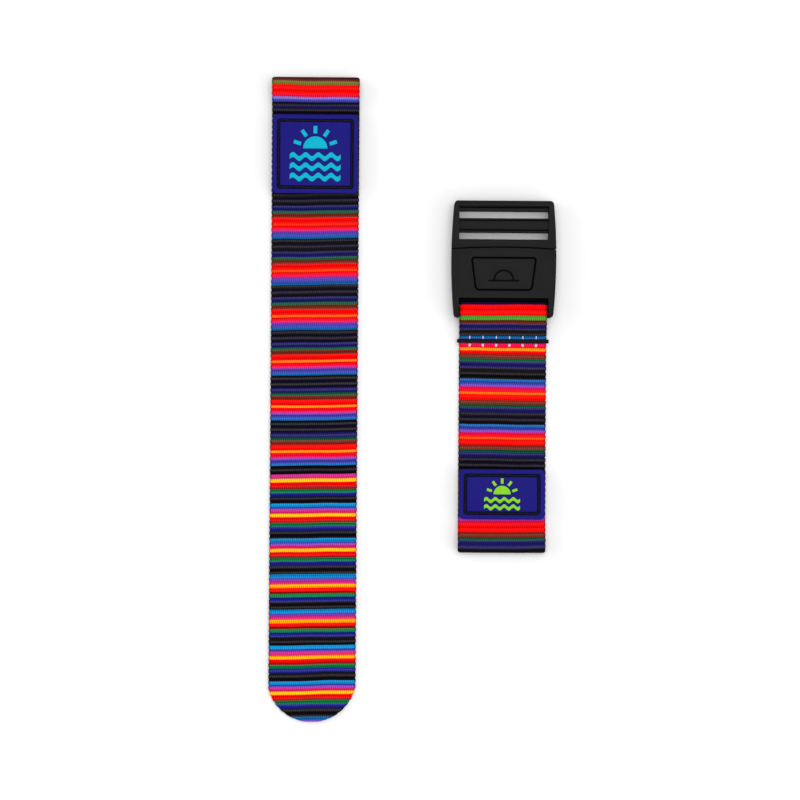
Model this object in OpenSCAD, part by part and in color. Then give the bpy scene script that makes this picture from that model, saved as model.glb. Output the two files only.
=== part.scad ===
// Two-part webbing watch strap with a moulded clip buckle. The tail half and
// the buckle half lie side by side, face up, along Y. X runs across, Z is up.
// The origin is at the bottom centre of the pair.

/* [Webbing] */
// Width of the webbing, which is also the lug width of the watch
band_w = 20; // [16:0.5:24]
// Thickness of one layer of webbing
web_t = 1.15; // [1:0.05:1.6]
// Radius of the bore that takes a watch spring bar
lug_bore_r = 0.95; // [0.8:0.05:1.1]
// Overall length of the tail half
tail_len = 147.5; // [110:0.5:190]
// Distance from a loop's axis to where its two layers lie together
fold_run = 5.3; // [4.5:0.1:5.5]
// Height of the arc that rounds the tip of the tail
tip_rise = 7.8; // [5:0.1:9.5]
// Distance from the sewn end of a loop's slope to the seam below the clip
seam_setback = 0.9; // [0.9:0.1:4]
// Distance from the webbing bar's axis to the buckle half's loop end
band_run = 55.1; // [40:0.1:80]
// Distance from the tail's loop end to the buckle half's clip end, along Y
half_offset = 28.2; // [10:0.1:40]
// Clear space between the two halves, measured across
pair_gap = 21.2; // [10:0.1:40]

/* [Patches] */
// Thickness of a moulded rubber patch
patch_t = 1.2; // [1:0.05:1.8]
// Webbing that shows at each side of a patch
patch_margin = 0.25; // [0.1:0.05:1.5]
// Length of the tail's patch
tail_patch_l = 18; // [14:0.1:24]
// Flat webbing between the tail's lug loop and its patch
tail_patch_gap = 1.3; // [0.2:0.1:6]
// Length of the buckle half's patch
band_patch_l = 11.4; // [9:0.1:14]
// Flat webbing between the buckle half's lug loop and its patch
band_patch_gap = 0.4; // [0.2:0.1:6]
// Corner radius of a patch
patch_r = 1; // [0.6:0.1:1.6]
// Width of the rim outside the sewing groove
rim_w = 1; // [0.9:0.05:1.5]
// Width of the sewing groove
groove_w = 0.75; // [0.5:0.05:0.8]
// Depth of the sewing groove
groove_depth = 0.4; // [0.3:0.05:0.6]
// Width of the motif on the tail's patch
tail_motif_w = 11.6; // [6:0.1:12]
// Width of the motif on the buckle half's patch
band_motif_w = 8.2; // [4:0.1:8.5]
// Height of the raised motif on a patch
motif_h = 0.25; // [0.2:0.05:0.4]

/* [Stitching] */
// Radius of the sewing thread
thread_r = 0.17; // [0.12:0.01:0.22]
// Distance from one patch stitch to the next
stitch_pitch = 2.6; // [2.2:0.1:4]
// Part of the pitch that shows as thread
stitch_share = 0.72; // [0.5:0.01:0.8]
// Number of stitches across the seam below the clip
seam_stitches = 6; // [4:1:8]

/* [Clip] */
// Width of the rails beside the ladder's slots, at their widest
rail_w = 1.7; // [1.4:0.05:2.6]
// How far the clip's sides bow out between its corners
side_bow = 0.65; // [0.3:0.05:0.8]
// Thickness of the clip
clip_t = 5.2; // [5.1:0.05:6]
// Length of the socket's lip between the button's window and the parting line
socket_lip = 2.5; // [2.2:0.1:3.5]
// Distance from the ends of the legs to the webbing bar's axis
bar_inset = 1.3; // [1.2:0.05:1.5]
// Radius of the webbing bar
bar_r = 1.1; // [0.9:0.05:1.2]
// Wall under the socket's cavity
floor_t = 0.9; // [0.8:0.05:1.1]
// Wall over the socket's cavity
roof_t = 1.4; // [1.2:0.05:1.5]
// Wall at the closed end of the socket's cavity
end_t = 1.1; // [0.9:0.05:1.3]
// Wall at each side of the socket's cavity
side_t = 1.9; // [1.6:0.05:2.4]
// Height of the bow in the line where the two halves of the clip meet
parting_rise = 0.45; // [0.3:0.05:0.7]

/* [Ladder] */
// How much higher each slot is than the webbing that threads through it
slot_play = 0.5; // [0.1:0.05:0.6]
// Distance from one slot to the next
slot_pitch = 4.85; // [4.6:0.05:5.4]
// Distance from the ladder's free end to its first slot's centre
slot_inset = 3.1; // [2.9:0.05:3.6]
// Length of the solid shoulder between the last slot and the parting line
shoulder_l = 1.9; // [1.5:0.1:4]
// How far the bars lie below the side rails
bar_sink = 0.7; // [0.4:0.05:0.9]

/* [Release button] */
// Width of the blade's rail at each side of the spring tongue
blade_rail = 1.8; // [1.4:0.1:3]
// How much each side of the button leans in towards its hinge end
button_taper = 0.75; // [0.2:0.05:1.5]
// Length of the button
button_l = 6.9; // [6:0.1:7.2]
// Depth of the outline sunk in the button
mark_depth = 0.3; // [0.15:0.05:0.4]
// Width of the line that makes the sunk outline
mark_w = 0.35; // [0.25:0.05:0.45]

/* [Fits] */
// Gap between a sliding face and its guide
slide_gap = 0.18; // [0.08:0.02:0.2]
// Gap that shows along the line where the two halves of the clip meet
parting_gap = 0.28; // [0.1:0.02:0.4]
// Radial gap between the webbing bar and its loop, and round the button's hinge
hinge_gap = 0.06; // [0.04:0.01:0.1]
// Gap that shows round the button
button_gap = 0.4; // [0.2:0.05:0.4]
// Room between the webbing and the plastic beside it
web_gap = 0.2; // [0.1:0.05:0.3]
// Room between the webbing's loop and the socket's wall that it swings past
loop_gap = 0.2; // [0.15:0.05:0.4]

/* [Hidden] */
$fn = 48;

web_color = "crimson";
patch_color = "midnightblue";
clip_color = "dimgray";

two_layers = 2 * web_t;
overcut = 1;

// Places across the pair
window_w = band_w + 2 * web_gap;
slot_w = window_w;
clip_w = slot_w + 2 * rail_w;
patch_w = band_w - 2 * patch_margin;
pair_w = band_w + clip_w + pair_gap;
tail_x = -pair_w / 2 + band_w / 2;
clip_x = pair_w / 2 - clip_w / 2;

// Tail half, along Y. The folded end stops a little inside the patch.
fold_hide = 0.4;
tail_top = tail_len / 2;
tip_y = -tail_len / 2;
lug_loop_r = lug_bore_r + web_t;
tail_patch_y = tail_top - lug_loop_r - fold_run - tail_patch_gap - tail_patch_l / 2;
tail_fold_y = tail_patch_y - tail_patch_l / 2 + fold_hide;
// The tip's arc passes through its two corners and its end
tip_arc_r = (band_w * band_w / 4 + tip_rise * tip_rise) / (2 * tip_rise);

// Spring tongue that carries the button, measured from its hinge
tongue_t = 1;
tongue_r = tongue_t / 2;
tongue_rail = 0.7;
tongue_lap = 0.6;
button_inset = 0.64;
window_step = 0.6;
ledge_l = 0.7;
ledge_t = 0.35;
join = 0.3;
button_r1 = 0.8;
button_r2 = 0.35;

// Clip, along Y
bar_loop_r = bar_r + hinge_gap + web_t;
bar_z = bar_loop_r;
bar_root = 0.6;
leg_len = bar_inset + bar_loop_r + loop_gap;
slot_h = web_t + slot_play;
socket_len = leg_len + end_t + slide_gap + tongue_rail + button_inset + button_l + socket_lip;
ladder_len = slot_inset + slot_pitch + slot_h / 2 + shoulder_l;
clip_len = socket_len + ladder_len;
clip_top = tail_top - half_offset;
leg_y = clip_top - clip_len;
bar_y = leg_y + bar_inset;
parting_y = leg_y + socket_len;
window_y = leg_y + leg_len;
slot_y = clip_top - slot_inset;
// Bars of the ladder: their underside, the step down to each slot, and the
// crease at the foot of the step
ladder_z0 = 1;
ladder_end_l = 1.2;
step_l = 0.65;
end_step_l = 0.95;
step_drop = 0.35;
crease_w = 0.3;
crease_depth = 0.4;

// Cavity of the socket, the blade that fills it, and the tongue in the blade
cavity_w = clip_w - 2 * side_t;
cavity_y = window_y + end_t;
cavity_z0 = floor_t;
cavity_z1 = clip_t - roof_t;
blade_w = cavity_w - 2 * slide_gap;
blade_y = cavity_y + slide_gap;
blade_z0 = cavity_z0 + slide_gap;
blade_z1 = cavity_z1 - slide_gap;
tongue_z1 = blade_z1;
tongue_z0 = tongue_z1 - tongue_t;
tongue_z = tongue_z1 - tongue_r;
tongue_y = blade_y + tongue_rail;
tongue_w = blade_w - 2 * (blade_rail + button_gap);
button_w = tongue_w - 2 * tongue_lap;
button_y = tongue_y + button_inset;
button_end_y = button_y + button_l;
tongue_end_y = button_end_y + tongue_lap;

// Buckle half's webbing, along Y
seam_y = bar_y - fold_run - seam_setback;
band_end_y = bar_y - band_run;
band_patch_y = band_end_y + lug_loop_r + fold_run + band_patch_gap + band_patch_l / 2;
band_fold_y = band_patch_y + band_patch_l / 2 - fold_hide;
binding_l = 0.9;
binding_out = 0.5;
stitch_up = 0.65;
stitch_down = 1.2;
stitch_back = 0.1;

// Webbing folded round a bar, drawn as (Y, Z) with the bar along X. The upper
// layer leaves the loop close to its tangent and meets the lower one after
// fold_run. It starts a little inside the loop, so that the two shapes cross.
module loop_profile(y, r_out, r_in, dir, reach) {
    rise = two_layers - r_out;
    lean = atan2(rise, fold_run) + acos(r_out / sqrt(fold_run * fold_run + rise * rise));
    start_r = 0.99 * r_out;
    translate([y, 0]) difference() {
        union() {
            translate([0, r_out]) circle(r = r_out);
            polygon([[0, 0], [dir * reach, 0], [dir * reach, two_layers], [dir * fold_run, two_layers],
                     [dir * start_r * cos(lean), r_out + start_r * sin(lean)], [0, r_out]]);
        }
        translate([0, r_out]) circle(r = r_in);
    }
}

// Turns a profile drawn as (Y, Z) into a strip of the given width across X
module across(x, w) {
    translate([x - w / 2, 0, 0]) rotate([90, 0, 90]) linear_extrude(height = w) children();
}

module rounded_plate(w, l, r) {
    square([w - 2 * r, l], center = true);
    square([w, l - 2 * r], center = true);
    for (sx = [-1, 1], sy = [-1, 1])
        translate([sx * (w / 2 - r), sy * (l / 2 - r)]) circle(r = r);
}

// Rubber patch: a rim, a sewing groove and a raised centre panel
module patch(x, y, l) {
    inner_r = patch_r * 0.5;
    translate([x, y, two_layers]) difference() {
        linear_extrude(height = patch_t) rounded_plate(patch_w, l, patch_r);
        translate([0, 0, patch_t - groove_depth]) linear_extrude(height = overcut) difference() {
            rounded_plate(patch_w - 2 * rim_w, l - 2 * rim_w, inner_r);
            rounded_plate(patch_w - 2 * (rim_w + groove_w), l - 2 * (rim_w + groove_w), inner_r);
        }
    }
}

// One row of thread stitches, centred, along X
module stitch_row(len) {
    count = floor(len / stitch_pitch);
    for (i = [0 : count - 1])
        translate([(i - (count - 1) / 2) * stitch_pitch, 0, 0]) rotate([0, 90, 0])
            cylinder(r = thread_r, h = stitch_pitch * stitch_share, center = true, $fn = 16);
}

// Thread in the sewing groove, lying on the groove's floor
module patch_thread(x, y, l) {
    run_x = patch_w - 2 * rim_w - groove_w;
    run_y = l - 2 * rim_w - groove_w;
    color("black") translate([x, y, two_layers + patch_t - groove_depth + thread_r]) {
        for (s = [-1, 1]) {
            translate([0, s * run_y / 2, 0]) stitch_row(run_x - 2 * groove_w);
            translate([s * run_x / 2, 0, 0]) rotate([0, 0, 90]) stitch_row(run_y - 2 * groove_w);
        }
    }
}

// Bar with wavy edges, one wave every wave_l
module wavy_bar(w, h, rise, wave_l) {
    steps = 36;
    function edge_y(i) = rise * sin(360 * (i / steps * w) / wave_l);
    polygon(concat([for (i = [0 : steps]) [(i / steps - 0.5) * w, edge_y(i) + h / 2]],
                   [for (i = [steps : -1 : 0]) [(i / steps - 0.5) * w, edge_y(i) - h / 2]]));
}

// Plain motif, w wide: half a sun with five rays above a number of wavy bars
module sun_and_waves(w, waves) {
    sun_r = w * 0.24;
    ray_l = w * 0.15;
    ray_w = w * 0.075;
    ray_gap = w * 0.055;
    bar_h = w * 0.1;
    bar_pitch = w * 0.2;
    above = sun_r + ray_gap + ray_l;
    below = bar_pitch * (waves - 0.2) + bar_h * 0.9;
    translate([0, (below - above) / 2]) {
        difference() {
            circle(r = sun_r);
            translate([-w, -w]) square([2 * w, w]);
        }
        for (turn = [18 : 36 : 162])
            rotate(turn) translate([sun_r + ray_gap, -ray_w / 2]) square([ray_l, ray_w]);
        for (i = [1 : waves])
            translate([0, -bar_pitch * (i - 0.2)]) wavy_bar(w, bar_h, bar_h * 0.4, w / 4);
    }
}

module tail_webbing() {
    color(web_color) union() {
        across(tail_x, band_w) loop_profile(tail_top - lug_loop_r,
            lug_loop_r, lug_bore_r, -1, tail_top - lug_loop_r - tail_fold_y);
        translate([tail_x - band_w / 2, tip_y + tip_rise, 0])
            cube([band_w, tail_fold_y + overcut - tip_y - tip_rise, web_t]);
        linear_extrude(height = web_t) intersection() {
            translate([tail_x, tip_y + tip_arc_r]) circle(r = tip_arc_r, $fn = 96);
            translate([tail_x - band_w / 2, tip_y - overcut])
                square([band_w, tip_rise + overcut + web_t]);
        }
    }
}

module tail_patch() {
    color(patch_color) patch(tail_x, tail_patch_y, tail_patch_l);
}

module tail_motif() {
    color("darkturquoise") translate([tail_x, tail_patch_y, two_layers + patch_t])
        linear_extrude(height = motif_h) sun_and_waves(tail_motif_w, 3);
}

module tail_patch_thread() {
    patch_thread(tail_x, tail_patch_y, tail_patch_l);
}

// The buckle half's webbing: looped round the clip's bar at one end and round
// the spring bar at the other, single between the two folds
module buckle_webbing() {
    color(web_color) union() {
        across(clip_x, band_w)
            loop_profile(bar_y, bar_loop_r, bar_r + hinge_gap, -1, bar_y - seam_y);
        across(clip_x, band_w)
            loop_profile(band_end_y + lug_loop_r, lug_loop_r, lug_bore_r, 1,
                band_fold_y - band_end_y - lug_loop_r);
        translate([clip_x - band_w / 2, band_fold_y - overcut, 0])
            cube([band_w, seam_y - band_fold_y + 2 * overcut, web_t]);
    }
}

module buckle_patch() {
    color(patch_color) patch(clip_x, band_patch_y, band_patch_l);
}

module buckle_motif() {
    color("yellowgreen") translate([clip_x, band_patch_y, two_layers + patch_t])
        linear_extrude(height = motif_h) sun_and_waves(band_motif_w, 2);
}

module buckle_patch_thread() {
    patch_thread(clip_x, band_patch_y, band_patch_l);
}

// Black tape that binds the cut end of the folded layer
module seam_binding() {
    color("black") across(clip_x, band_w + 2 * binding_out)
        translate([seam_y - binding_l, web_t]) square([binding_l, web_t]);
}

// White stitches that hold the fold down: each shows on the fold above the
// binding and again on the single layer below it
module seam_thread() {
    pitch = band_w / (seam_stitches + 0.6);
    above = seam_y + stitch_back;
    below = seam_y - binding_l - stitch_back - stitch_down;
    color("white") for (i = [0 : seam_stitches - 1])
        translate([clip_x + (i - (seam_stitches - 1) / 2) * pitch, 0, thread_r]) {
            translate([0, above, two_layers]) rotate([-90, 0, 0])
                cylinder(r = thread_r, h = stitch_up, $fn = 16);
            translate([0, below, web_t]) rotate([-90, 0, 0])
                cylinder(r = thread_r, h = stitch_down, $fn = 16);
        }
}

// Outline of the whole clip from above: bowed sides and small round corners
module clip_outline() {
    corner_r = 0.7;
    bow_r = (clip_len * clip_len / 4 + side_bow * side_bow) / (2 * side_bow);
    end_w = clip_w - 2 * side_bow;
    translate([clip_x, (clip_top + leg_y) / 2]) difference() {
        intersection() {
            square([clip_w, clip_len], center = true);
            translate([bow_r - clip_w / 2, 0]) circle(r = bow_r, $fn = 360);
            translate([clip_w / 2 - bow_r, 0]) circle(r = bow_r, $fn = 360);
        }
        for (sx = [-1, 1], sy = [-1, 1])
            translate([sx * (end_w / 2 - corner_r), sy * (clip_len / 2 - corner_r)])
                mirror([sx < 0 ? 1 : 0, 0]) mirror([0, sy < 0 ? 1 : 0]) difference() {
                    square([2 * corner_r, 2 * corner_r]);
                    circle(r = corner_r);
                }
    }
}

// Area on the ladder side of the bowed parting line, pushed back by a gap
module ladder_side(gap) {
    bow_r = (clip_w * clip_w / 4 + parting_rise * parting_rise) / (2 * parting_rise);
    difference() {
        translate([clip_x - clip_w, parting_y - parting_rise + gap]) square([2 * clip_w, clip_len]);
        translate([clip_x, parting_y - bow_r]) circle(r = bow_r + gap, $fn = 180);
    }
}

module button_outline(grow) {
    half1 = button_w / 2;
    half2 = button_w / 2 - button_taper;
    offset(r = grow) hull() {
        for (sx = [-1, 1]) {
            translate([clip_x + sx * (half2 - button_r1), button_y + button_r1]) circle(r = button_r1);
            translate([clip_x + sx * (half1 - button_r2), button_end_y - button_r2]) circle(r = button_r2);
        }
    }
}

// Cover that holds the plug: a flat cavity open towards the ladder, a window
// for the button, and two legs that carry the webbing bar
module clip_socket() {
    color(clip_color) difference() {
        linear_extrude(height = clip_t) difference() {
            clip_outline();
            ladder_side(0);
        }
        // Window between the legs
        translate([clip_x - window_w / 2, leg_y - overcut, -overcut])
            cube([window_w, leg_len + overcut, clip_t + 2 * overcut]);
        // Step at the window's end, so that the fold can be pressed in from above
        translate([clip_x - window_w / 2, window_y - overcut, bar_z])
            cube([window_w, window_step + overcut, clip_t]);
        // Cavity for the blade
        translate([clip_x - cavity_w / 2, cavity_y, cavity_z0])
            cube([cavity_w, clip_len, cavity_z1 - cavity_z0]);
        // Window for the button
        translate([0, 0, cavity_z1 - overcut]) linear_extrude(height = clip_t) button_outline(button_gap);
    }
    // Ledge under the fold, at the window's end
    color(clip_color) translate([clip_x - window_w / 2 - join, window_y - ledge_l, 0])
        cube([window_w + 2 * join, ledge_l + join, ledge_t]);
    // Bar that the webbing is sewn round
    color(clip_color) translate([clip_x, bar_y, bar_z]) rotate([0, 90, 0])
        cylinder(r = bar_r, h = window_w + 2 * bar_root, center = true);
}

// Half of a ladder bar, from its slot to the middle of its flat ridge
module half_bar(slot_edge, middle, step) {
    top = clip_t - bar_sink;
    low = top - step_drop;
    toward = middle > slot_edge ? 1 : -1;
    ridge = slot_edge + toward * step;
    crease = ridge - toward * crease_w;
    across(clip_x, slot_w + overcut) polygon([[slot_edge, ladder_z0], [middle, ladder_z0], [middle, top],
        [ridge, top], [ridge, low - crease_depth], [crease, low - crease_depth], [crease, low],
        [slot_edge, low]]);
}

// Ladder with two slots for the tail, and the flat blade that goes into the socket
module clip_plug() {
    slot2_y = slot_y - slot_pitch;
    bar_mid_y = slot_y - slot_pitch / 2;
    shoulder_y = slot2_y - slot_h / 2;
    color(clip_color) {
        difference() {
            union() {
                difference() {
                    linear_extrude(height = clip_t) intersection() {
                        clip_outline();
                        ladder_side(parting_gap);
                    }
                    translate([clip_x - slot_w / 2, shoulder_y, -overcut])
                        cube([slot_w, clip_top - shoulder_y - ladder_end_l, clip_t + 2 * overcut]);
                }
                half_bar(slot_y + slot_h / 2, clip_top - ladder_end_l + join, end_step_l);
                half_bar(slot_y - slot_h / 2, bar_mid_y - join, step_l);
                half_bar(slot2_y + slot_h / 2, bar_mid_y, step_l);
                // Blade
                translate([clip_x - blade_w / 2, blade_y, blade_z0])
                    cube([blade_w, shoulder_y - blade_y, blade_z1 - blade_z0]);
            }
            // Opening in the blade round the spring tongue
            translate([clip_x - tongue_w / 2 - button_gap, tongue_y, blade_z0 - overcut])
                cube([tongue_w + 2 * button_gap, tongue_end_y + button_gap - tongue_y,
                      blade_z1 - blade_z0 + 2 * overcut]);
            // Seat of the tongue's hinge
            translate([clip_x, tongue_y, tongue_z]) rotate([0, 90, 0])
                cylinder(r = tongue_r + hinge_gap, h = tongue_w + 2 * button_gap, center = true);
        }
    }
}

// Spring tongue with the button on it, and an outline sunk in the button's top
module release_button() {
    sun_r = button_l * 0.34;
    sun_y = button_y + button_l * 0.3;
    line_l = 3 * sun_r;
    color(clip_color) difference() {
        union() {
            translate([clip_x, tongue_y, tongue_z]) rotate([0, 90, 0])
                cylinder(r = tongue_r, h = tongue_w, center = true);
            translate([clip_x - tongue_w / 2, tongue_y, tongue_z0])
                cube([tongue_w, tongue_end_y - tongue_y, tongue_t]);
            translate([0, 0, tongue_z0]) linear_extrude(height = clip_t - tongue_z0) button_outline(0);
        }
        // Outline of a low sun on a line
        translate([clip_x, sun_y, clip_t - mark_depth])
            linear_extrude(height = mark_depth + overcut) {
                difference() {
                    circle(r = sun_r);
                    circle(r = sun_r - mark_w);
                    translate([-sun_r, -2 * sun_r]) square([2 * sun_r, 2 * sun_r]);
                }
                translate([-line_l / 2, -mark_w]) square([line_l, mark_w]);
            }
    }
}

tail_webbing();
tail_patch();
tail_motif();
tail_patch_thread();
buckle_webbing();
buckle_patch();
buckle_motif();
buckle_patch_thread();
seam_binding();
seam_thread();
clip_socket();
clip_plug();
release_button();
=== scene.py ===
import math

import bmesh
import bpy
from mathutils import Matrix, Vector, noise


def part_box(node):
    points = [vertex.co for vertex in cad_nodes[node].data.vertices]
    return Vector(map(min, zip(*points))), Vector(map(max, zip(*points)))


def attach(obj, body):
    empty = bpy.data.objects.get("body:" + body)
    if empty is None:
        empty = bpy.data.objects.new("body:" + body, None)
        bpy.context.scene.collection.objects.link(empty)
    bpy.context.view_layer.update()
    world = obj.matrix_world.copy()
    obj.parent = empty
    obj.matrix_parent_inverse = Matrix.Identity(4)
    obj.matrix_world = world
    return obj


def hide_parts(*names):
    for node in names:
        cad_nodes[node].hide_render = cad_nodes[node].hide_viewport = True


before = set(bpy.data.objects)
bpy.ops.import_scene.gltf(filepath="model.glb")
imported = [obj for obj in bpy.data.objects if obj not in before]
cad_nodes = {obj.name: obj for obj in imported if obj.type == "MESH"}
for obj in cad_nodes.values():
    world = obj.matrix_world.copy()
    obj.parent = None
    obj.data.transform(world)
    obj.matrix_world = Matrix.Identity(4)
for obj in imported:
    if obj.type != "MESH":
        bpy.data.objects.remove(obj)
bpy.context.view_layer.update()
MM = 0.001


# --- Tail webbing -----------------------------------------------------------
# A long strip of ribbed polyester webbing, striped across in dyed yarns. One
# end is folded back round a lug bore and sewn down, the other is cut round.

WEB_T = 1.15 * MM
RIB_PITCH = 1.31 * MM
PICKS_PER_RIB = 8
PICK = RIB_PITCH / PICKS_PER_RIB
# The grid's columns crowd towards the edges, where the webbing is rounded
COLUMNS = 26
CROWDING = 1.25
EDGE_R = 0.5 * MM
# How far the edges draw in between two ribs, and how many picks a pick strays
EDGE_DRAW = 0.14 * MM
STRAY = 0.9
# Picks enough for any length that stays out of sight
HIDDEN = 400

YARN = {
    "black": (7, 5, 10),
    "coal": (22, 18, 23),
    "ink": (9, 7, 28),
    "navy": (23, 19, 86),
    "green": (4, 76, 46),
    "pine": (4, 92, 56),
    "emerald": (2, 110, 58),
    "royal": (22, 24, 122),
    "sky": (4, 126, 186),
    "blood": (128, 8, 6),
    "leaf": (70, 140, 40),
    "olive": (104, 104, 34),
    "brown": (108, 34, 19),
    "maroon": (92, 30, 24),
    "red": (234, 3, 2),
    "amber": (246, 138, 12),
    "yellow": (240, 174, 6),
    "crimson": (234, 6, 46),
    "pink": (192, 36, 116),
    "rose": (240, 8, 106),
    "magenta": (176, 40, 128),
    "violet": (116, 62, 168),
    "lilac": (128, 104, 190),
    "iris": (54, 58, 152),
    "azure": (6, 96, 160),
}


def linear(rgb):
    """An sRGB colour in 0 to 255, as linear values."""
    shares = [c / 255 for c in rgb]
    return [c / 12.92 if c <= 0.04045 else ((c + 0.055) / 1.055) ** 2.4 for c in shares]


def mixed(first, second, share):
    """A colour that is a share of the way from one colour to another."""
    return tuple(a + (b - a) * share for a, b in zip(first, second))


def day_repeat(glow):
    """Nearly eight ribs of stripes, from the dark end to the blue end.

    glow says how far the brightest stripe goes from red to amber."""
    bright = mixed(YARN["red"], YARN["amber"], glow)
    return [("coal", 2), ("ink", 5), ("coal", 3), ("ink", 3), ("navy", 7), ("green", 4), ("brown", 6),
            ("red", 8), (bright, 3), ("red", 2), ("crimson", 4), ("magenta", 2), ("violet", 2),
            ("iris", 5), ("azure", 3), ("black", 4)]


def dusk_repeat(extra):
    """Six ribs of brighter, narrower stripes, from the blue end to the dark end.

    Now and then a repeat has an extra pick of coal."""
    return [("black", 4), ("sky", 5), ("iris", 2), ("violet", 2), ("pink", 4), ("crimson", 1), ("amber", 1),
            ("yellow", 3), ("amber", 1), ("red", 5), ("blood", 3), ("emerald", 5), ("royal", 6),
            ("coal", 3 + extra), ("black", 4)]


def picks(stripes):
    """Linear colour of each pick of yarn in a list of (yarn, picks)."""
    out = []
    for yarn, count in stripes:
        rgb = YARN[yarn] if yarn in YARN else yarn
        out += [linear(rgb)] * count
    return out


def arc(centre, radius, start, end, steps=40):
    """Points (y, z) along an arc, with its angles in degrees."""
    turns = [math.radians(start + (end - start) * i / steps) for i in range(steps + 1)]
    return [Vector((centre[0] + radius * math.cos(a), centre[1] + radius * math.sin(a))) for a in turns]


def spaced(points, step):
    """The same line as points one step apart, with its corners softened."""
    out = [points[0].copy()]
    left = step
    for a, b in zip(points, points[1:]):
        length = (b - a).length
        while length >= left > 0:
            a = a + (b - a) * (left / length)
            length -= left
            left = step
            out.append(a.copy())
        left -= length
    for _ in range(12):
        inner = [(out[i - 1] + out[i] * 2 + out[i + 1]) / 4 for i in range(1, len(out) - 1)]
        out = [out[0]] + inner + [out[-1]]
    return out


def weave(name, centre_x, line, colours, skew, half_width):
    """Webbing along a line of (y, z) points, one pick of yarn for each step.

    A grid is bent along the line, given ribs through the weights that a
    Solidify modifier reads, and coloured pick by pick."""
    rows = len(line) - 1
    bpy.ops.object.select_all(action="DESELECT")
    bpy.ops.mesh.primitive_grid_add(x_subdivisions=COLUMNS, y_subdivisions=rows, size=1)
    strip = bpy.context.object
    strip.name = strip.data.name = name
    mesh = strip.data
    ribs = strip.vertex_groups.new(name="ribs")
    flat = {}
    for vertex in mesh.vertices:
        row = round((vertex.co.y + 0.5) * rows)
        across = math.sin(vertex.co.x * 2 * CROWDING) / math.sin(CROWDING)
        half = half_width(row)
        rib = abs(math.cos(math.pi * row / PICKS_PER_RIB)) ** 0.7
        edge = min(1.0, (1 - abs(across)) * half / EDGE_R)
        x = across * (half - EDGE_DRAW * (1 - rib))
        wander = noise.noise(Vector((x / (7 * MM), row / 60, 3.7))) * STRAY
        place = min(max(row + skew(row) * x / PICK + wander, 0.0), rows - 0.001)
        step = int(place)
        along = line[step].lerp(line[step + 1], place - step)
        vertex.co = (centre_x + x, along.x, along.y)
        # Thinner between two ribs, and rounded off along both edges
        weight = (1 - 0.34 * (1 - rib)) * (0.45 + 0.55 * math.sqrt(max(0.0, 1 - (1 - edge) ** 2)))
        ribs.add([vertex.index], weight, "REPLACE")
        flat[vertex.index] = (x, row * PICK, rib)
    mesh.color_attributes.new(name="yarn", type="FLOAT_COLOR", domain="CORNER")
    uv = mesh.uv_layers.active.data
    yarn = mesh.color_attributes["yarn"].data
    for face in mesh.polygons:
        row = min(int(min(flat[v][1] for v in face.vertices) / PICK + 0.5), rows - 1)
        # Each pick of yarn takes the dye a little differently
        shade = 1 + 0.10 * noise.noise(Vector((row * 0.71, 0.3, 9.1)))
        for corner in face.loop_indices:
            x, s, rib = flat[mesh.loops[corner].vertex_index]
            uv[corner].uv = (x / MM, s / MM)
            yarn[corner].color = [c * shade for c in colours[row]] + [rib]
    thick = strip.modifiers.new("thickness", "SOLIDIFY")
    thick.thickness = WEB_T
    thick.offset = 0
    thick.vertex_group = "ribs"
    thick.thickness_vertex_group = 0.0
    bpy.ops.object.modifier_apply(modifier="thickness")
    bpy.ops.object.shade_smooth_by_angle(angle=math.radians(50))
    return strip


class Wire:
    """A shader socket that can be added, multiplied and compared like a number."""

    def __init__(self, paint, socket):
        self.paint = paint
        self.socket = socket

    def math(self, kind, *others):
        return self.paint.node("ShaderNodeMath", {"operation": kind}, [self, *others])

    def __add__(self, other):
        return self.math("ADD", other)

    def __sub__(self, other):
        return self.math("SUBTRACT", other)

    def __rsub__(self, other):
        return self.paint.node("ShaderNodeMath", {"operation": "SUBTRACT"}, [other, self])

    def __mul__(self, other):
        return self.math("MULTIPLY", other)

    __radd__ = __add__
    __rmul__ = __mul__


class Paint:
    """A new material's node tree, ending in one Principled shader."""

    def __init__(self, name, **constants):
        self.material = bpy.data.materials.new(name)
        self.material.use_nodes = True
        self.tree = self.material.node_tree
        self.shader = self.tree.nodes["Principled BSDF"]
        for socket, value in constants.items():
            self.shader.inputs[socket.replace("_", " ")].default_value = value

    def node(self, kind, settings=None, inputs=(), output=0):
        made = self.tree.nodes.new(kind)
        for key, value in (settings or {}).items():
            setattr(made, key, value)
        pairs = inputs.items() if isinstance(inputs, dict) else enumerate(inputs)
        for key, value in pairs:
            if isinstance(value, Wire):
                self.tree.links.new(value.socket, made.inputs[key])
            else:
                made.inputs[key].default_value = value
        return Wire(self, made.outputs[output])

    def mix(self, share, first, second, blend="MIX"):
        return self.node("ShaderNodeMix", {"data_type": "RGBA", "blend_type": blend},
                         {0: share, 6: first, 7: second}, output=2)

    def feed(self, **links):
        for socket, wire in links.items():
            self.tree.links.new(wire.socket, self.shader.inputs[socket.replace("_", " ")])

    def bump(self, height, strength, distance):
        self.feed(Normal=self.node("ShaderNodeBump", {}, {"Strength": strength, "Distance": distance,
                                                         "Height": height}))


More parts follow.
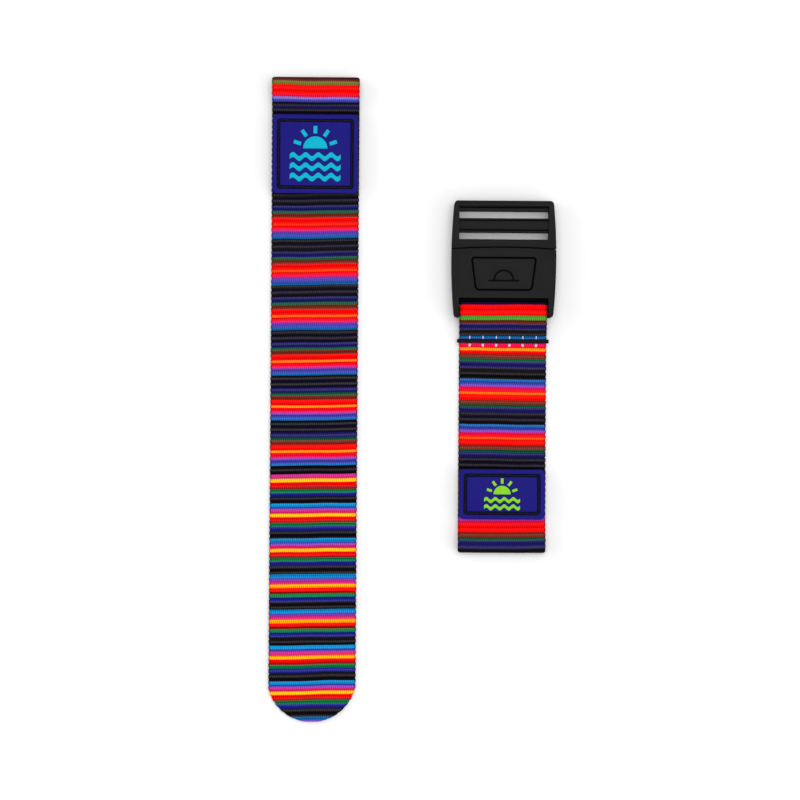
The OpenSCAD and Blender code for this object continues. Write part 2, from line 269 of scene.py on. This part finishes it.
def webbing_paint():
    """Dyed polyester: the yarn's colour, lengthwise ends of thread, painted shade between the ribs and
    along both edges, and a painted highlight on each rib's crest.
    """
    paint = Paint("striped webbing", Specular_IOR_Level=0.035)
    uv = paint.node("ShaderNodeUVMap")
    across = paint.node("ShaderNodeSeparateXYZ", {}, [uv])
    along = Wire(paint, across.socket.node.outputs[1])
    yarn = paint.node("ShaderNodeAttribute", {"attribute_name": "yarn"})
    rib = Wire(paint, yarn.socket.node.outputs["Alpha"])
    # Ends of thread every 0.47 mm, each leaning a little like twisted yarn
    ends = ((across + along * 0.2) * (2 * math.pi / 0.47)).math("SINE") * 0.5 + 0.5
    fuzz = paint.node("ShaderNodeTexNoise", {}, {"Vector": uv, "Scale": 3.1, "Detail": 3.0})
    # Four beads of weft to each rib
    beads = (along * (2 * math.pi * 4 * MM / RIB_PITCH)).math("SINE") * 0.5 + 0.5
    # Painted shade along both edges, from 9.45 mm out from the middle, where the webbing turns down
    edge_shade = ((across.math("ABSOLUTE") - 9.45) * 2.0).math("MAXIMUM", 0.0).math("MINIMUM", 1.0)
    # The rib term is painted shade between the ribs; the ends and fuzz terms are the yarn's own texture
    shade = (0.72 + rib * 0.46) * (0.66 + ends * 0.62) * (0.80 + fuzz * 0.48) * (1 - edge_shade * 0.55)
    dark = paint.node("ShaderNodeCombineColor", {}, [shade, shade, shade])
    color = paint.mix(1.0, yarn, dark, "MULTIPLY")
    # A pale glint on the crest of each rib
    bright = paint.node("ShaderNodeRGBToBW", {}, [yarn])
    dull = 1 - (bright * 6.0).math("MINIMUM", 1.0)
    glint = rib.math("POWER", 10.0) * (0.3 + ends * 0.7) * fuzz * (0.03 + dull * 0.10)
    color = paint.mix(glint, color, (0.70, 0.62, 0.68, 1))
    paint.feed(Base_Color=color, Roughness=0.70 - ends * 0.12)
    paint.bump(ends * 0.5 + beads * 0.3 + fuzz * 0.3, 0.6, 0.00012)
    return paint.material


tail_low, tail_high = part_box("tail_webbing")
patch_low, patch_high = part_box("tail_patch")
BAND_W = tail_high.x - tail_low.x
TIP_RISE = 7.8 * MM
FOLD_RUN = 5.3 * MM
FOLD_HIDE = 0.4 * MM
lug_loop_r = (tail_high.z - tail_low.z) / 2
lug_mid_r = lug_loop_r - WEB_T / 2
tail_x = (tail_low.x + tail_high.x) / 2
tip_arc_r = (BAND_W ** 2 / 4 + TIP_RISE ** 2) / (2 * TIP_RISE)


def fold(axis_y, axis_z, radius, way):
    """Points from the lower layer round a loop and down to the upper layer.

    way is 1 where the loop is at the strap's +Y end and -1 at its other end."""
    lower = WEB_T / 2 - axis_z
    upper = 1.5 * WEB_T - axis_z
    lean = math.degrees(math.atan2(upper, -FOLD_RUN) - math.acos(radius / math.hypot(upper, FOLD_RUN)))
    lean %= 360
    around = arc((0, 0), radius, -90, lean)
    points = [Vector((0, lower))] + around + [Vector((-FOLD_RUN, upper))]
    return [Vector((axis_y + way * p.x, axis_z + p.y)) for p in points]


# Leaves off the very tip, where the webbing would have no width
tip_cut = 0.12 * MM
tail_line = [Vector((tail_low.y + tip_cut, WEB_T / 2))]
tail_line += fold(tail_high.y - lug_loop_r, lug_loop_r, lug_mid_r, 1)
tail_line += [Vector((patch_low.y + FOLD_HIDE, 1.5 * WEB_T))]
tail_line = spaced(tail_line, PICK)

# The lower layer's stripes, written from the lug loop to the tip
tail_draft = list(reversed(picks(
    [("black", 189)] + day_repeat(0.25) + [("black", 2)]
    + [stripe for glow in (0.5, 0.65, 0.8, 0.9, 1.0) for stripe in day_repeat(glow)]
    + [("black", 8), ("magenta", 2), ("pink", 4), ("yellow", 5), ("red", 6), ("blood", 4), ("emerald", 5),
       ("royal", 5), ("black", 6)]
    + [stripe for extra in (0, 1, 0, 1, 1, 0) for stripe in dusk_repeat(extra)]
    + [("black", 5), ("azure", 5), ("violet", 2)])))
# The upper layer's stripes, from the pick where the line has come round the loop
loop_draft = picks([("black", 1), ("maroon", 5), ("olive", 4), ("red", 12), ("crimson", 4), ("lilac", 3),
                    ("iris", 5), ("black", 5), ("navy", 4), ("coal", 3), ("black", 160)])
loop_start = max(i for i, p in enumerate(tail_line) if p.x > tail_high.y - 0.8 * MM)
hidden_draft = picks([("black", HIDDEN)])
tail_colours = (tail_draft + hidden_draft)[:loop_start] + loop_draft + hidden_draft


def tail_half(row):
    """Half the webbing's width at a pick, which is less in the round tip."""
    s = row * PICK + tip_cut
    if s >= TIP_RISE:
        return BAND_W / 2
    return math.sqrt(tip_arc_r ** 2 - (tip_arc_r - s) ** 2)


def tail_skew(row):
    """Slant of a pick, which is less towards the lug loop."""
    return 0.021 if row * PICK < 138 * MM else 0.006


tail_webbing = weave("tail_webbing_woven", tail_x, tail_line, tail_colours, tail_skew, tail_half)
webbing_material = webbing_paint()
tail_webbing.data.materials.append(webbing_material)
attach(tail_webbing, "tail_band")
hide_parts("tail_webbing")
tip_loss = BAND_W * TIP_RISE - sum(2 * tail_half(r) * PICK for r in range(int(TIP_RISE / PICK)))

# --- Tail patch ---------------------------------------------------------------
# A label moulded in blue rubber: a round-cornered plate with a rim, a sewing
# groove and a raised panel. It is sewn over the end of the fold.

RIM_W = 1.0 * MM
GROOVE_W = 0.75 * MM
GROOVE_DEPTH = 0.4 * MM
CORNER_R = 1.1 * MM
GROOVE_R = 0.7 * MM


def rubber_paint(name, rgb):
    """Satin moulded rubber, very slightly mottled."""
    paint = Paint(name, Specular_IOR_Level=0.07)
    place = paint.node("ShaderNodeTexCoord", output=3)
    mottle = paint.node("ShaderNodeTexNoise", {}, {"Vector": place, "Scale": 900.0, "Detail": 4.0})
    grain = paint.node("ShaderNodeTexNoise", {}, {"Vector": place, "Scale": 6000.0, "Detail": 2.0})
    color = linear(rgb) + [1]
    pale = [min(1, c * 1.5) for c in color[:3]] + [1]
    paint.feed(Base_Color=paint.mix(mottle * 0.4, color, pale), Roughness=0.42 + grain * 0.2)
    paint.bump(grain * 0.5 + mottle * 0.5, 0.25, 0.00005)
    return paint.material


def pick_edges(mesh, test):
    """Selects the edges of an edit mesh for which test(edge) holds."""
    mesh.select_mode = {"EDGE"}
    for edge in mesh.edges:
        edge.select_set(test(edge))
    mesh.select_flush_mode()


def round_edges(piece, width, segments, angle):
    """Rounds every edge that turns by more than an angle in degrees."""
    rounding = piece.modifiers.new("rounding", "BEVEL")
    rounding.width = width
    rounding.segments = segments
    rounding.limit_method = "ANGLE"
    rounding.angle_limit = math.radians(angle)
    bpy.ops.object.modifier_apply(modifier="rounding")


def moulded_patch(name, low, high, materials):
    """Plate with a rim, a groove and a panel, all with round corners and edges."""
    centre = (low + high) / 2
    size = high - low
    bpy.ops.object.select_all(action="DESELECT")
    bpy.ops.mesh.primitive_cube_add(size=1, location=centre, scale=size)
    bpy.ops.object.transform_apply(location=True, rotation=False, scale=True)
    plate = bpy.context.object
    plate.name = plate.data.name = name
    bpy.ops.object.mode_set(mode="EDIT")
    mesh = bmesh.from_edit_mesh(plate.data)
    for face in mesh.faces:
        face.select_set(face.normal.z > 0.9)
    wall = 0.06 * MM
    for inset, drop in ((RIM_W, 0), (wall, -GROOVE_DEPTH), (GROOVE_W - 2 * wall, 0), (wall, GROOVE_DEPTH)):
        bpy.ops.mesh.inset(thickness=inset, depth=0)
        bpy.ops.transform.translate(value=(0, 0, drop))
    half = size.x / 2
    hair = 0.01 * MM

    def round_corners(inset, least, radius, segments):
        """Bevels the upright edges at the four corners of an outline."""
        def at_corner(edge):
            a, b = (v.co for v in edge.verts)
            upright = max(abs(a.x - b.x), abs(a.y - b.y)) < 2 * wall + hair
            outer = max(abs(a.x - centre.x), abs(b.x - centre.x))
            return upright and abs(a.z - b.z) > least and abs(outer - (half - inset)) < hair

        pick_edges(bmesh.from_edit_mesh(plate.data), at_corner)
        bpy.ops.mesh.bevel(offset=radius, segments=segments)

    round_corners(0, hair, CORNER_R, 8)
    round_corners(RIM_W, GROOVE_DEPTH * 0.9, GROOVE_R, 6)
    round_corners(RIM_W + GROOVE_W - wall, GROOVE_DEPTH * 0.9, GROOVE_R * 0.5, 5)
    bpy.ops.object.mode_set(mode="OBJECT")
    round_edges(plate, 0.13 * MM, 3, 40)
    bpy.ops.object.shade_smooth_by_angle(angle=math.radians(35))
    for material in materials:
        plate.data.materials.append(material)
    # Faces low in the groove take the second material, a near-black rubber painted as the shadow deep in
    # the groove
    for face in plate.data.polygons:
        in_groove = face.center.z < high.z - 0.6 * GROOVE_DEPTH and face.normal.z > 0.3
        face.material_index = 1 if in_groove else 0
    return plate


blue_rubber = rubber_paint("blue rubber", (17, 11, 106))
# Painted shadow: near-black rubber for the floor of the sewing groove
groove_shadow_rubber = rubber_paint("blue rubber in shadow", (5, 4, 14))
tail_patch = moulded_patch("tail_patch_moulded", patch_low, patch_high, [blue_rubber, groove_shadow_rubber])
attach(tail_patch, "tail_band")
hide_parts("tail_patch")

# --- Tail motif ---------------------------------------------------------------
# Cyan rubber poured on the panel: a low sun with rays above three waves. The
# poured edges are a little round.


def softened(node, name, width, segments=2):
    """A copy of a CAD node with its corners rounded, which stands in its place."""
    bpy.ops.object.select_all(action="DESELECT")
    piece = cad_nodes[node].copy()
    piece.data = cad_nodes[node].data.copy()
    for key in list(piece.keys()):
        del piece[key]
    piece.parent = None
    piece.name = piece.data.name = name
    piece.data.materials.clear()
    bpy.context.scene.collection.objects.link(piece)
    bpy.context.view_layer.objects.active = piece
    piece.select_set(True)
    bpy.ops.object.mode_set(mode="EDIT")
    bpy.ops.mesh.select_all(action="SELECT")
    bpy.ops.mesh.remove_doubles(threshold=1e-6)
    bpy.ops.mesh.dissolve_limited(angle_limit=math.radians(0.4))
    bpy.ops.object.mode_set(mode="OBJECT")
    round_edges(piece, width, segments, 35)
    bpy.ops.object.shade_smooth_by_angle(angle=math.radians(30))
    return piece


tail_motif = softened("tail_motif", "tail_motif_poured", 0.07 * MM)
tail_motif.data.materials.append(rubber_paint("cyan rubber", (0, 158, 184)))
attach(tail_motif, "tail_band")
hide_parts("tail_motif")

# --- Tail patch thread ----------------------------------------------------------
# Black bonded thread in the sewing groove. Each stitch is thick in the middle
# and dips into its needle holes at both ends.

STITCH_PITCH = 2.6 * MM
THREAD_R = 0.26 * MM


def thread_paint(name, rgb, pale):
    """Twisted thread, with its plies as slanting bands. The second colour, pale, is painted light on each
    ply's band: lighter than the thread for a highlight, darker for shade.
    """
    paint = Paint(name, Specular_IOR_Level=0.1)
    place = paint.node("ShaderNodeTexCoord", output=3)
    x = paint.node("ShaderNodeSeparateXYZ", {}, [place])
    y = Wire(paint, x.socket.node.outputs[1])
    z = Wire(paint, x.socket.node.outputs[2])
    plies = ((x + y + z * 1.3) * (2 * math.pi / (0.28 * MM))).math("SINE") * 0.5 + 0.5
    fuzz = paint.node("ShaderNodeTexNoise", {}, {"Vector": place, "Scale": 9000.0})
    paint.feed(Base_Color=paint.mix(plies * 0.7, linear(rgb) + [1], linear(pale) + [1]),
               Roughness=0.55 + fuzz * 0.25)
    paint.bump(plies, 0.6, 0.00005)
    return paint.material


def stitch(place, length, turn, radius=THREAD_R):
    """One stitch, lying along X before it is turned."""
    bpy.ops.object.select_all(action="DESELECT")
    bpy.ops.mesh.primitive_uv_sphere_add(segments=12, ring_count=14, radius=1, rotation=(0, math.pi / 2, 0))
    bpy.ops.object.transform_apply(location=False, rotation=True, scale=False)
    made = bpy.context.object
    for vertex in made.data.vertices:
        x = vertex.co.x
        full = math.sqrt(max(0.0, 1 - x ** 4)) / math.sqrt(max(1e-6, 1 - x * x))
        vertex.co = (x * length / 2, vertex.co.y * radius * full,
                     (vertex.co.z * full - 0.9 * x * x) * radius)
    made.rotation_euler = (0, 0, turn)
    made.location = place
    bpy.ops.object.transform_apply(location=True, rotation=True, scale=False)
    return made


def joined(pieces, name):
    """Several meshes made into one smooth mesh."""
    bpy.ops.object.select_all(action="DESELECT")
    for piece in pieces:
        piece.select_set(True)
    bpy.context.view_layer.objects.active = pieces[0]
    bpy.ops.object.join()
    whole = bpy.context.object
    whole.name = whole.data.name = name
    bpy.ops.object.shade_smooth()
    return whole


def sewn_round(name, low, high):
    """Stitches along the four sides of a patch's groove."""
    centre = (low + high) / 2
    size = high - low
    z = high.z - GROOVE_DEPTH + THREAD_R * 0.9
    inset = RIM_W + GROOVE_W / 2
    made = []
    for turn, run, reach in ((0, size.x, size.y), (math.pi / 2, size.y, size.x)):
        run -= 2 * inset
        count = round(run / STITCH_PITCH)
        pitch = run / count
        for side in (-1, 1):
            for i in range(count):
                along = (i - (count - 1) / 2) * pitch
                off = side * (reach / 2 - inset)
                sway = 0.06 * MM * math.sin(i * 2.4 + side)
                place = (along, off + sway) if turn == 0 else (off + sway, along)
                made.append(stitch((centre.x + place[0], centre.y + place[1], z), pitch * 0.84, turn))
    return joined(made, name)


tail_thread = sewn_round("tail_patch_stitches", patch_low, patch_high)
# Painted highlight: the paler second colour in bands along each ply of the black thread
black_thread = thread_paint("black thread", (9, 8, 11), (28, 26, 31))
tail_thread.data.materials.append(black_thread)
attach(tail_thread, "tail_band")
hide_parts("tail_patch_thread")

# --- Buckle webbing -------------------------------------------------------------
# The same webbing for the short half. Its upper end is folded round the clip's
# bar and sewn down at the seam, its lower end round a lug bore.

buckle_low, buckle_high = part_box("buckle_webbing")
small_low, small_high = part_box("buckle_patch")
seam_low, seam_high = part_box("seam_binding")
bar_loop_r = (buckle_high.z - buckle_low.z) / 2
bar_mid_r = bar_loop_r - WEB_T / 2
buckle_x = (buckle_low.x + buckle_high.x) / 2

buckle_line = [Vector((seam_high.y, 1.5 * WEB_T))]
buckle_line += list(reversed(fold(buckle_high.y - bar_loop_r, bar_loop_r, bar_mid_r, 1)))
buckle_line += fold(buckle_low.y + lug_loop_r, lug_loop_r, lug_mid_r, -1)
buckle_line += [Vector((small_high.y - FOLD_HIDE, 1.5 * WEB_T))]
buckle_line = spaced(buckle_line, PICK)

# Where the line leaves the bar, goes under the seam and starts round the lug bore
by_bar = max(i for i, p in enumerate(buckle_line) if p.x > buckle_high.y - 1.0 * MM and p.y > bar_loop_r)
under_seam = min(i for i, p in enumerate(buckle_line) if i > by_bar and p.y < WEB_T and p.x < seam_high.y)
by_lug = min(i for i, p in enumerate(buckle_line) if p.x < buckle_low.y + 0.9 * MM)


def night_repeat(glow):
    """The same stripes from the blue end to the dark end."""
    return list(reversed(day_repeat(glow)))


# Stripes of the fold over the bar, below the seam, down the band and past the lug loop
fold_draft = picks([("navy", 1), ("azure", 4), ("coal", 11), ("navy", 8), ("maroon", 6), ("leaf", 6),
                    ("red", 14), ("navy", 4)])
seam_draft = picks([("black", 4), ("rose", 3), ("crimson", 4), ("amber", 4), ("red", 5),
                    ("brown", 6), ("pine", 4), ("navy", 9), ("coal", 6), ("black", 6)])
band_draft = picks(night_repeat(0.85) + night_repeat(0.6) + [("black", 4)] + night_repeat(0.5) * 2)
lug_draft = picks([("black", 13), ("coal", 3), ("navy", 9), ("green", 4), ("brown", 8), ("red", 12),
                   ("crimson", 4), ("magenta", 4), ("violet", 4), ("black", 200)])
covered_draft = picks([("coal", HIDDEN)])
buckle_colours = (fold_draft + covered_draft)[:under_seam] + seam_draft + band_draft
buckle_colours = buckle_colours[:by_lug] + lug_draft + covered_draft


def buckle_skew(row):
    """Slant of a pick past the bar, as the webbing is woven a little out of square."""
    return 0.011 if row > by_bar else 0


buckle_webbing = weave("buckle_webbing_woven", buckle_x, buckle_line, buckle_colours, buckle_skew,
                       lambda row: BAND_W / 2)
buckle_webbing.data.materials.append(webbing_material)
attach(buckle_webbing, "buckle_band")
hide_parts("buckle_webbing")

# --- Seam -----------------------------------------------------------------------
# Black tape closes the cut end of the fold and stands out a little at both
# sides. White stitches cross it and hold the fold down.


def tape_paint():
    """Narrow woven tape, with a fine lengthwise rib."""
    paint = Paint("black tape", Specular_IOR_Level=0.07)
    place = paint.node("ShaderNodeTexCoord", output=3)
    x = paint.node("ShaderNodeSeparateXYZ", {}, [place])
    weft = (x * (2 * math.pi / (0.35 * MM))).math("SINE") * 0.5 + 0.5
    fuzz = paint.node("ShaderNodeTexNoise", {}, {"Vector": place, "Scale": 5000.0})
    paint.feed(Base_Color=paint.mix(weft * fuzz, (0.004, 0.004, 0.005, 1), (0.02, 0.019, 0.023, 1)),
               Roughness=0.7 + fuzz * 0.2)
    paint.bump(weft, 0.5, 0.00006)
    return paint.material


seam_tape = softened("seam_binding", "seam_tape", 0.3 * MM, segments=4)
seam_tape.data.materials.append(tape_paint())
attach(seam_tape, "buckle_band")
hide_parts("seam_binding")

SEAM_STITCHES = 6
LONG_STITCH_R = 0.13 * MM
SHORT_STITCH_R = 0.17 * MM
thread_low, thread_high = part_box("seam_thread")
seam_pitch = (thread_high.x - thread_low.x - 2 * SHORT_STITCH_R) / (SEAM_STITCHES - 1)
over_fold = (seam_high.y + thread_high.y) / 2
below_fold = (seam_low.y + thread_low.y) / 2 + 0.2 * MM
white = []
for i in range(SEAM_STITCHES):
    x = buckle_x + (i - (SEAM_STITCHES - 1) / 2) * seam_pitch
    wag = 0.12 * math.sin(i * 2.1)
    white.append(stitch((x, over_fold, 2 * WEB_T + 0.06 * MM), thread_high.y - seam_high.y,
                        math.pi / 2 + wag, LONG_STITCH_R))
    for lean in (-1, 1):
        white.append(stitch((x + lean * 0.09 * MM, below_fold, WEB_T + 0.08 * MM), 0.8 * MM,
                            math.pi / 2 - lean * 0.16 + wag, SHORT_STITCH_R))
seam_thread = joined(white, "seam_stitches")
# Painted shade: the darker second colour in bands along each ply of the white thread
seam_thread.data.materials.append(thread_paint("white thread", (226, 222, 232), (180, 176, 196)))
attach(seam_thread, "buckle_band")
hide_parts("seam_thread")

# --- Buckle patch ---------------------------------------------------------------
# A shorter label of the same rubber, sewn on in the same way, with a lime sun
# above two waves.

buckle_patch = moulded_patch("buckle_patch_moulded", small_low, small_high, [blue_rubber, groove_shadow_rubber])
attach(buckle_patch, "buckle_band")
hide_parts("buckle_patch")
buckle_motif = softened("buckle_motif", "buckle_motif_poured", 0.05 * MM)
buckle_motif.data.materials.append(rubber_paint("lime rubber", (120, 188, 30)))
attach(buckle_motif, "buckle_band")
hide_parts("buckle_motif")
buckle_thread = sewn_round("buckle_patch_stitches", small_low, small_high)
buckle_thread.data.materials.append(black_thread)
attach(buckle_thread, "buckle_band")
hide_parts("buckle_patch_thread")

# --- Clip -----------------------------------------------------------------------
# Socket, plug and release button are injection moulded in black acetal. The
# mould was spark eroded, which leaves a fine even grain on every outer face.


def plastic_paint(name, light):
    """Grained black plastic. Less light stands for the shadow deep in a groove."""
    paint = Paint(name, Specular_IOR_Level=0.12 * light)
    place = paint.node("ShaderNodeTexCoord", output=3)
    grain = paint.node("ShaderNodeTexNoise", {}, {"Vector": place, "Scale": 2800.0, "Detail": 4.0})
    cloud = paint.node("ShaderNodeTexNoise", {}, {"Vector": place, "Scale": 260.0, "Detail": 2.0})
    color = paint.mix(grain * light, (0.002, 0.002, 0.002, 1), (0.009, 0.0086, 0.009, 1))
    paint.feed(Base_Color=color, Roughness=0.50 + grain * 0.16 + cloud * 0.06)
    paint.bump(grain, 0.35, 0.00005)
    return paint.material


black_plastic = plastic_paint("black moulded plastic", 1.0)
# Painted shadow: a darker copy of the plastic for the deep gaps and grooves, where little light reaches
groove_shadow_plastic = plastic_paint("black moulded plastic, painted groove shadow", 0.15)
clip_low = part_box("clip_socket")[0]
clip_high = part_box("clip_plug")[1]
# The gaps lie nearer the middle than the side rails, and stop short of both ends
inner_half = 10 * MM
clip_end = 1 * MM


def darken_grooves(piece, depth):
    """Gives the walls of the gaps, and all floors below a depth, the darker plastic painted as the shadow
    deep in the gaps.
    """
    piece.data.materials.append(groove_shadow_plastic)
    for face in piece.data.polygons:
        across = abs(face.center.x - buckle_x)
        between = clip_low.y + clip_end < face.center.y < clip_high.y - clip_end
        wall = abs(face.normal.z) < 0.3 and (across < inner_half or abs(face.normal.y) > 0.9)
        floor = face.normal.z > 0.5 and face.center.z < clip_high.z - depth and across < inner_half
        if between and (wall or floor):
            face.material_index = 1


for node, body, depth in (("clip_socket", "socket", 1.2 * MM),
                          ("clip_plug", "plug", 1.2 * MM),
                          ("release_button", "button", 0.1 * MM)):
    piece = softened(node, node + "_moulded", 0.08 * MM)
    piece.data.materials.append(black_plastic)
    darken_grooves(piece, depth)
    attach(piece, body)
    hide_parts(node)

# --- Floor, light and camera ------------------------------------------------
# Plain white paper under soft overhead light, seen from straight above.

bpy.ops.object.select_all(action="DESELECT")
bpy.ops.mesh.primitive_plane_add(size=4)
floor = bpy.context.object
floor.name = "floor"
paper = Paint("white paper", Base_Color=(0.84, 0.84, 0.84, 1), Roughness=0.9, Specular_IOR_Level=0.1)
floor.data.materials.append(paper.material)


def lamp(name, place, size, power):
    """A square lamp that faces the origin."""
    bpy.ops.object.light_add(type="AREA", location=place)
    light = bpy.context.object
    light.name = name
    light.data.size = size
    light.data.energy = power
    light.rotation_euler = Vector(place).to_track_quat("Z", "Y").to_euler()


lamp("overhead softbox", (0.05, 0.1, 0.9), 0.7, 6.3)
lamp("left softbox", (-0.8, 0.2, 0.5), 0.6, 1.8)
lamp("right softbox", (0.7, -0.3, 0.6), 0.6, 1.8)
world = bpy.data.worlds.new("white room")
bpy.context.scene.world = world
world.use_nodes = True
world.node_tree.nodes["Background"].inputs["Color"].default_value = (1, 1, 1, 1)
world.node_tree.nodes["Background"].inputs["Strength"].default_value = 0.42
bpy.context.scene.view_settings.view_transform = "Standard"

VIEW_W = 183.3 * MM
LENS = 120
SENSOR = 36
bpy.ops.object.camera_add(location=(-2.8 * MM, 0.1 * MM, VIEW_W * LENS / SENSOR))
camera = bpy.context.object
camera.rotation_euler = (0, 0, math.radians(0.4))
camera.data.lens = LENS
camera.data.sensor_width = SENSOR
bpy.context.scene.camera = camera
